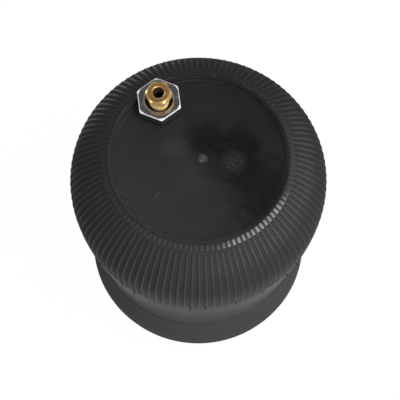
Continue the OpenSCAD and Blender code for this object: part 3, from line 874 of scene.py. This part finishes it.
def plateMaterial():
    f, look = Finish("plate_coating"), plateFinish
    place = f.coords()
    x, y, z = f.xyz(place)
    cloud, ragged = f.noise(place, *look["cloud"]), f.noise(place, *look["ragged"])
    fine, pits = f.noise(place, *look["fine"]), f.noise(place, *look["pits"])

    def spots(name):
        return f.spots(place, *plateSpots[name])

    def near(spotX, spotY, radius):
        # a patch with a ragged edge
        away = ((x - spotX) ** 2 + (y - spotY) ** 2) ** 0.5 / radius
        return 1 - (away + cloud * 0.6 + ragged * 1.1 - 0.85).step(0.25, 1)

    def allNear(patches):
        return sum(near(*patch) * strength for *patch, strength in patches)

    def stroke(spotX, spotY, angle, length):
        turn = math.radians(angle)
        ahead = (x - spotX) * math.cos(turn) + (y - spotY) * math.sin(turn)
        aside = (y - spotY) * math.cos(turn) - (x - spotX) * math.sin(turn) + (fine - 0.5) * 1.5 * mm
        ends = 1 - (ahead.calc("ABSOLUTE") / length).step(0.3, 0.6)
        return ends * (1 - aside.calc("ABSOLUTE").step(0.1 * mm, 0.5 * mm))

    crumbs = spots("crumbs") * 0.6 + (spots("grazesAcross") + spots("grazesAlong")) * 0.15 + 0.12
    scratches = sum(stroke(*scratch) for scratch in plateScratches) * 0.45
    specks = spots("specks") * cloud.step(0.45, 0.6) * 0.12
    scuffs = (allNear(plateScuffs) * crumbs + scratches + specks).clamp()
    # painted reflection: lighter toward the left and the front
    reflectionGradient = (0.55 - x * 6 - y * 5 + (cloud - 0.5) * 0.6).clamp()
    # painted highlight along the rim's outer edge at the back, in broken patches where the coating is also
    # rubbed through
    edge = ((x * x + y * y) ** 0.5).step(plateR - 0.9 * mm, plateR - 0.4 * mm)
    edge = edge * (1 - (z - rimZ).calc("ABSOLUTE").step(0.2 * mm, mm))
    rubbedHighlight = edge * spots("patchy") * (y * 12 - x * 5).clamp()
    colour = f.paint(f.blend(reflectionGradient, look["dark"], look["light"]), look, [
        (rubbedHighlight * 0.7, "scuff"),
        ((allNear(plateDarkReflections) * 0.95).clamp(), "darkReflection"),
        (scuffs, "scuff"),
        (near(*rustSpot) * 0.8, "rust"),
    ])
    rough = look["roughness"] + 0.08 * cloud + 0.1 * fine + 0.12 * reflectionGradient - 0.08 * scuffs
    f.set(Base_Color=colour, Roughness=rough, Specular_IOR_Level=look["specular"],
          Normal=f.bump(fine * 0.6 + pits * 0.4, look["bump"], 0.6))
    return f.material


def makePlate():
    p = plateSize
    flat, inside, lip = p["flat"], plateR - p["rimWidth"], upperBead["lipR"]
    under, curlX, curlZ = flat - p["thickness"], plateR - p["curl"], lipZ + p["curl"]
    outline = [(0, flat - p["dish"]), (plateR * 0.45, flat - p["dish"] * 0.8),
               (plateR * 0.8, flat - p["dish"] * 0.2)]
    outline += rounded([(0, flat), (inside, flat, p["foot"]), (inside, rimZ, p["rimRound"]),
                        (plateR, rimZ, p["rimRound"]), (plateR, lipZ)], 6)[1:-1]
    outline += arc(curlX, curlZ, p["curl"], 0, -90, 8)
    outline += [(lip, lipZ), (lip, lipZ + p["skirt"])]
    outline += arc(curlX, curlZ, p["curl"] - p["skirt"], -90, 0, 5)
    outline += [(plateR - p["skirt"], under), (0, under)]
    bm = bmesh.new()
    revolve(bm, outline, p["steps"], closed=False)
    piece = finishPiece(bm, "bead_plate_shell", "upper", plateMaterial(), sharp=40)
    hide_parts("bead_plate")


makePlate()
print("plate made")

# Stud, nut and fitting
nutSize = {
    "acrossFlats": 28.6 * mm,
    "turn": 38,
    "low": nutLow.z,
    "high": nutHigh.z,
    "coneR": 15.3 * mm,
    "coneBelow": True,
    "bore": 9.6 * mm,
    "sink": 0.8 * mm,
    "cuts": 15,
    "threadPitch": 1.5875 * mm,
    "threadCrest": 8.75 * mm,
    "chamfer": 0.6 * mm,
    "round": 0.15 * mm,
}
studSize = {
    "root": 8.7 * mm,
    "crest": 9.5 * mm,
    "collarR": 11 * mm,
    "collar": 1.6 * mm,
    "passage": 4.6 * mm,
    "socket": 6.9 * mm,
    "socketDepth": 3.4 * mm,
}
fittingSize = {
    "acrossFlats": 15.9 * mm,
    "turn": 57,
    "low": fittingHigh.z - 6.4 * mm,
    "high": fittingHigh.z,
    "coneR": 7.7 * mm,
    "coneBelow": False,
    "bore": 4.1 * mm,
    "sink": 0.5 * mm,
    "cuts": 11,
    "neckR": 6.4 * mm,
    "threadCrest": 7.0 * mm,
    "threadPitch": 1.4 * mm,
    "neckTop": 0.6 * mm,             # above the hexagon's underside
    "portPitch": 0.94 * mm,
    "portCrest": 3.85 * mm,
    "chamfer": 0.3 * mm,
    "round": 0.12 * mm,
}
zincFinish = {
    "bright": (0.78, 0.79, 0.80),
    "nut": (0.5, 0.51, 0.52),
    "wire": (0.55, 0.47, 0.34),
    "shade": 0.72,                   # of those tints in the darker clouds
    "wearAndLight": (0.33, 0.33, 0.34),
    # painted shade in the bore
    "bore": (0.02, 0.02, 0.02),
    # painted highlight on the turned edges
    "edge": (0.95, 0.95, 0.95),
    "cloud": (160, 4, 0.65),
    "fine": (900, 3, 0.6),
    "tool": (320, 2, 0.5),
    "toolStretch": (1, 1, 14),
    "wear": ((1, 1, 1), (420, 4, 0.7, 0.5), (0.5, 0.66)),
    "roughness": 0.18,
    "bump": 0.04 * mm,
    "edgeFrom": 12 * mm,             # the nut's painted edge highlights lie further out than this
}
brassFinish = {
    "dark": (0.60, 0.38, 0.13),
    "light": (0.85, 0.60, 0.24),
    "face": (0.44, 0.22, 0.09),
    # oxide and painted shade in the bore
    "bore": (0.035, 0.014, 0.008),
    # painted reflection on the side faces
    "flats": (0.95, 0.70, 0.27),
    "cloud": (150, 4, 0.6),
    "fine": (1100, 3, 0.6),
    "mottle": ((1, 1, 1), (620, 4, 0.7, 0.8), (0.4, 0.62)),
    "roughness": 0.2,
    "bump": 0.03 * mm,
}
steelFinish = {
    "dark": (0.018, 0.018, 0.0192),
    "light": (0.03, 0.03, 0.032),
    "cloud": (90, 4, 0.6),
    "fine": (800, 3, 0.6),
    "roughness": 0.45,
    "metal": 0.4,
    "bump": 0.04 * mm,
}


def fromStud(x, y):
    return ((x - studX) ** 2 + (y - studY) ** 2) ** 0.5


def zincMaterial(name, tint, bore=0.0, top=1.0):
    # painted shade inside the bore, and a painted highlight, rougher and less metallic, on the turned edges
    # below the top face
    f, look = Finish(name), zincFinish
    place = f.coords()
    x, y, z = f.xyz(place)
    cloud, fine = f.noise(place, *look["cloud"]), f.noise(place, *look["fine"])
    tool = f.noise(f.stretch(place, look["toolStretch"]), *look["tool"])
    # worn spots on the zinc
    wearAndLight = f.spots(place, *look["wear"])
    across = fromStud(x, y)
    # painted shade inside the bore
    inside = 1 - across.step(bore, bore + 0.2 * mm)
    ring = 1 - across.step(bore + 0.9 * mm, bore + 1.2 * mm)
    # painted highlight on the turned edges below the top face
    edge = z.step(top - 1.3 * mm, top - 0.9 * mm) * (1 - z.step(top - 0.2 * mm, top - 0.02 * mm))
    edge = edge * across.step(look["edgeFrom"], look["edgeFrom"] + mm)
    shade = tuple(c * look["shade"] for c in look[tint])
    colour = f.paint(f.blend(cloud, shade, look[tint]), look, [
        (wearAndLight * 0.4, "wearAndLight"), (inside, "bore"), (edge * 0.8, "edge")])
    rough = look["roughness"] + 0.12 * cloud + 0.12 * wearAndLight + 0.3 * edge + 0.25 * ring
    f.set(Base_Color=colour, Roughness=rough, Metallic=1 - 0.5 * edge,
          Normal=f.bump(fine * 0.5 + tool * 0.5, look["bump"], 0.5))
    return f.material


def brassMaterial(name, bore=0.0, top=1.0):
    # oxide and painted shade, dull brown, inside the bore; a little browner on the turned top face; a painted
    # reflection, lighter and less metallic, on the hexagon's sides and all below them
    f, look = Finish(name), brassFinish
    place = f.coords()
    x, y, z = f.xyz(place)
    cloud, fine = f.noise(place, *look["cloud"]), f.noise(place, *look["fine"])
    # oxide and painted shade inside the bore
    inside = 1 - fromStud(x, y).step(bore, bore + 0.25 * mm)
    inside = inside * (1 - z.step(top - 1.2 * mm, top - 0.3 * mm))
    face = z.step(top - 0.5 * mm, top - 0.1 * mm)
    # painted reflection on the side faces and below
    flats = (1 - z.step(top - 1.5 * mm, top - 0.8 * mm)) * (1 - inside)
    mottled = f.spots(place, *look["mottle"])
    colour = f.paint(f.blend(cloud.step(0.35, 0.65), look["dark"], look["light"]), look, [
        (face * (0.55 + 0.4 * mottled), "face"), (inside, "bore"), (flats * 0.6, "flats")])
    rough = look["roughness"] + 0.1 * cloud + 0.16 * face + 0.4 * inside + 0.15 * flats
    f.set(Base_Color=colour, Roughness=rough, Metallic=1 - 0.6 * inside - 0.4 * flats,
          Normal=f.bump(fine, look["bump"], 0.5))
    return f.material


def steelMaterial():
    f, look = Finish("dark_steel"), steelFinish
    place = f.coords()
    cloud = f.noise(place, *look["cloud"])
    f.set(Base_Color=f.blend(cloud, look["dark"], look["light"]), Metallic=look["metal"],
          Roughness=look["roughness"] + 0.15 * cloud,
          Normal=f.bump(f.noise(place, *look["fine"]), look["bump"], 0.6))
    return f.material


def makeNut():
    n = nutSize
    bm = bmesh.new()
    addHexagon(bm, n)
    addThread(bm, n["bore"] + 0.1 * mm, n["threadCrest"], n["threadPitch"],
              n["low"] + 0.5 * mm, n["high"] - 0.3 * mm)
    bright = zincMaterial("nut_zinc", "nut", n["bore"], n["high"])
    piece = finishPiece(bm, "stud_nut", "upper", bright, sharp=14, place=(studX, studY, 0))
    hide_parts("combo_stud_nut")


def makeStud():
    s = studSize
    low, top = studLow.z, studHigh.z
    collar, floor = low + s["collar"], top - s["socketDepth"]
    bm = bmesh.new()
    outline = rounded([(s["passage"], low), (s["collarR"], low), (s["collarR"], collar, 0.5 * mm),
                       (s["root"], collar), (s["root"], top, 0.5 * mm), (s["socket"], top),
                       (s["socket"], floor), (s["passage"], floor)], 4)
    revolve(bm, outline, 96)
    addThread(bm, s["root"] - 0.1 * mm, s["crest"], nutSize["threadPitch"], collar + 0.2 * mm, top - 0.4 * mm)
    piece = finishPiece(bm, "hollow_stud", "upper", darkSteel, place=(studX, studY, 0))
    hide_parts("combo_stud")


def makeFitting():
    size = fittingSize
    low, hexLow = fittingLow.z, size["low"]
    inside, neckTop = size["portCrest"] - 0.6 * mm, hexLow + size["neckTop"]
    bm = bmesh.new()
    addHexagon(bm, size)
    neck = rounded([(inside, low), (size["neckR"], low, 0.4 * mm), (size["neckR"], neckTop),
                    (size["bore"] - 0.05 * mm, neckTop), (inside, hexLow)], 4)
    revolve(bm, neck, 72)
    addThread(bm, size["neckR"] - 0.1 * mm, size["threadCrest"], size["threadPitch"],
              low + 0.3 * mm, hexLow - 1.2 * mm)
    addThread(bm, size["bore"] + 0.1 * mm, size["portCrest"], size["portPitch"],
              hexLow + 0.7 * mm, size["high"] - 0.5 * mm, 32)
    piece = finishPiece(bm, "brass_fitting", "upper", brass, sharp=14, place=(studX, studY, 0))
    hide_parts("air_fitting")


zinc = zincMaterial("zinc", "bright")
brass = brassMaterial("brass", fittingSize["bore"], fittingSize["high"])
darkSteel = steelMaterial()
makeNut()
makeStud()
makeFitting()
print("stud, nut and fitting made")

# Hidden hardware and the piston keep their own meshes, with a finish each
plasticFinish = {
    "dark": (0.012, 0.012, 0.013),
    "light": (0.032, 0.032, 0.034),
    "cloud": (35, 4, 0.6),
    "fine": (1500, 3, 0.7),
    "flow": (1, 3, 0.5),
    "flowStretch": (30, 30, 220),
    "roughness": 0.42,
    "bump": 0.06 * mm,
}
urethaneFinish = {
    "dark": (0.36, 0.27, 0.15),
    "light": (0.50, 0.40, 0.25),
    "cloud": (60, 3, 0.6),
    "cells": 700,
    "roughness": 0.7,
    "bump": 0.2 * mm,
}


def plasticMaterial():
    f, look = Finish("piston_plastic"), plasticFinish
    place = f.coords()
    cloud, fine = f.noise(place, *look["cloud"]), f.noise(place, *look["fine"])
    flow = f.noise(f.stretch(place, look["flowStretch"]), *look["flow"])
    f.set(Base_Color=f.blend((cloud * 0.6 + flow * 0.4).clamp(), look["dark"], look["light"]),
          Roughness=look["roughness"] + 0.16 * cloud, Normal=f.bump(fine, look["bump"], 0.6))
    return f.material


def urethaneMaterial():
    f, look = Finish("bumper_urethane"), urethaneFinish
    place = f.coords()
    cells = f.node("ShaderNodeTexVoronoi", {"feature": "F1"}, "Distance", Vector=place, Scale=look["cells"])
    cloud = f.noise(place, *look["cloud"])
    f.set(Base_Color=f.blend(cloud, look["dark"], look["light"]),
          Roughness=look["roughness"] + 0.1 * cloud, Normal=f.bump(cells, look["bump"], 0.7))
    return f.material


def dressNodes():
    plastic = plasticMaterial()
    wire = zincMaterial("bead_wire", "wire")
    dress = {
        "piston_shell": plastic, "piston_base": plastic, "bumper": urethaneMaterial(),
        "clamp_o_ring": sealRubber, "clamp_plate": darkSteel,
        "upper_bead_core": wire, "lower_bead_core": wire, "base_inserts": brassMaterial("insert_brass"),
        "base_screws": zinc, "hub_sleeve": zinc, "piston_bolt": zinc, "piston_bolt_nut": zinc,
        "piston_bolt_washer": zinc, "bumper_washer": zinc,
    }
    for name, material in dress.items():
        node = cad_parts[name]
        node.data.materials.clear()
        node.data.materials.append(material)


dressNodes()
print("hardware dressed")

# Floor, world and lights
studio = {
    "floorSize": 8.0,
    "floorShare": 0.94,              # of plain white in the floor as the camera sees it
    "floorGlow": 1.04,
    "floorColour": (0.5, 0.5, 0.5),
    "worldTop": 0.10,
    "worldLeft": 0.45,
    "worldRight": 0.85,
    "topFade": (0.62, 0.86),         # direction's height at which the sides fade into the top
    "sideFade": (-0.8, 0.4),
}
lamps = [
    # name, place, size and power; all are aimed at the middle of the plate
    ("key", (0.55, -0.30, 1.35), (0.5, 0.5), 10.0),
    ("back", (-0.85, 0.75, 0.75), (0.7, 0.5), 3.5),
    ("front", (0.1, -1.2, 0.45), (1.0, 0.5), 2.5),
    ("left", (-0.85, -0.42, 1.14), (0.35, 0.35), 1.5),
]


def makeFloor():
    bm = bmesh.new()
    bmesh.ops.create_grid(bm, x_segments=8, y_segments=8, size=studio["floorSize"] / 2)
    mesh = bpy.data.meshes.new("floor")
    bm.to_mesh(mesh)
    bm.free()
    floor = bpy.data.objects.new("floor", mesh)
    bpy.context.scene.collection.objects.link(floor)
    f = Finish("pale_floor")
    seen = f.node("ShaderNodeLightPath", output="Is Camera Ray")
    glow = f.node("ShaderNodeEmission", Color=(1, 1, 1), Strength=studio["floorGlow"])
    f.set(Base_Color=studio["floorColour"], Roughness=0.9, Specular_IOR_Level=0.1)
    both = f.node("ShaderNodeMixShader", i0=seen * studio["floorShare"],
                  i1=f.shader.outputs[0], i2=glow)
    f.tree.links.new(both.socket, f.tree.nodes["Material Output"].inputs["Surface"])
    mesh.materials.append(f.material)


def makeWorld():
    world = bpy.data.worlds.new("studio")
    bpy.context.scene.world = world
    world.use_nodes = True
    tree = world.node_tree
    nodes = tree.nodes
    direction = nodes.new("ShaderNodeTexCoord")
    split = nodes.new("ShaderNodeSeparateXYZ")
    tree.links.new(direction.outputs["Generated"], split.inputs[0])
    up, across = Wire(tree, split.outputs["Z"]), Wire(tree, split.outputs["X"])
    camera = Wire(tree, nodes.new("ShaderNodeLightPath").outputs["Is Camera Ray"])
    side = 1 - up.step(*studio["topFade"])
    rise = studio["worldRight"] - studio["worldLeft"]
    ring = studio["worldLeft"] + rise * across.step(*studio["sideFade"])
    strength = studio["worldTop"] + (ring - studio["worldTop"]) * side
    strength = strength.calc("MAXIMUM", camera)
    join(tree, nodes["Background"].inputs["Color"], (1, 1, 1))
    join(tree, nodes["Background"].inputs["Strength"], strength)


def makeLamps():
    for name, place, size, power in lamps:
        data = bpy.data.lights.new(name, "AREA")
        data.shape = "RECTANGLE"
        data.size, data.size_y = size
        data.energy = power
        lamp = bpy.data.objects.new(name, data)
        bpy.context.scene.collection.objects.link(lamp)
        lamp.location = place
        toward = Vector((0, 0, rimZ)) - lamp.location
        lamp.rotation_euler = toward.to_track_quat("-Z", "Y").to_euler()


makeFloor()
makeWorld()
makeLamps()
bpy.context.scene.view_settings.view_transform = "Standard"
print("studio made")
